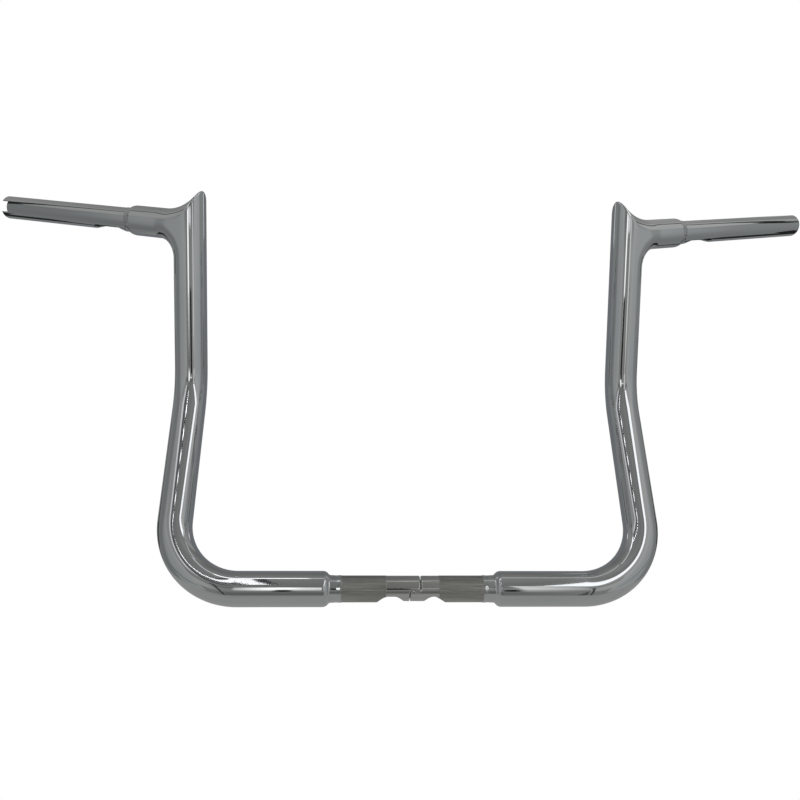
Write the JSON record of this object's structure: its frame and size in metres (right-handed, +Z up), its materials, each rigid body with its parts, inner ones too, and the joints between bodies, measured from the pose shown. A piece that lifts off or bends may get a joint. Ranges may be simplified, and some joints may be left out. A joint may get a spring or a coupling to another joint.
{
  "type": "motorcycle handlebar",
  "caption": "Tall chromed touring-motorcycle handlebar in hook-jointed halves: knurled clamp seats, dog-leg risers with pointed corners, swept-back stepped grips and wire openings.",
  "frame": {"origin": "middle of the clamp section, on the axis of the clamp seats", "axes": "+X along the clamp axis to the rider's left (clutch side), +Y rearwards to the rider, +Z up along the upper risers"},
  "size_m": [0.9547, 0.245, 0.4167],
  "materials": {
    "bar_chrome": "mirror polished plating",
    "clamp_chrome": "plated, knurled seats with a polished middle band"
  },
  "bodies": {
    "root": {"throttle_clamp_stub": "clamp_chrome", "clutch_clamp_stub": "clamp_chrome", "throttle_riser_tube": "bar_chrome", "clutch_riser_tube": "bar_chrome", "throttle_grip_tube": "bar_chrome", "clutch_grip_tube": "bar_chrome"}
  },
  "joints": []
}
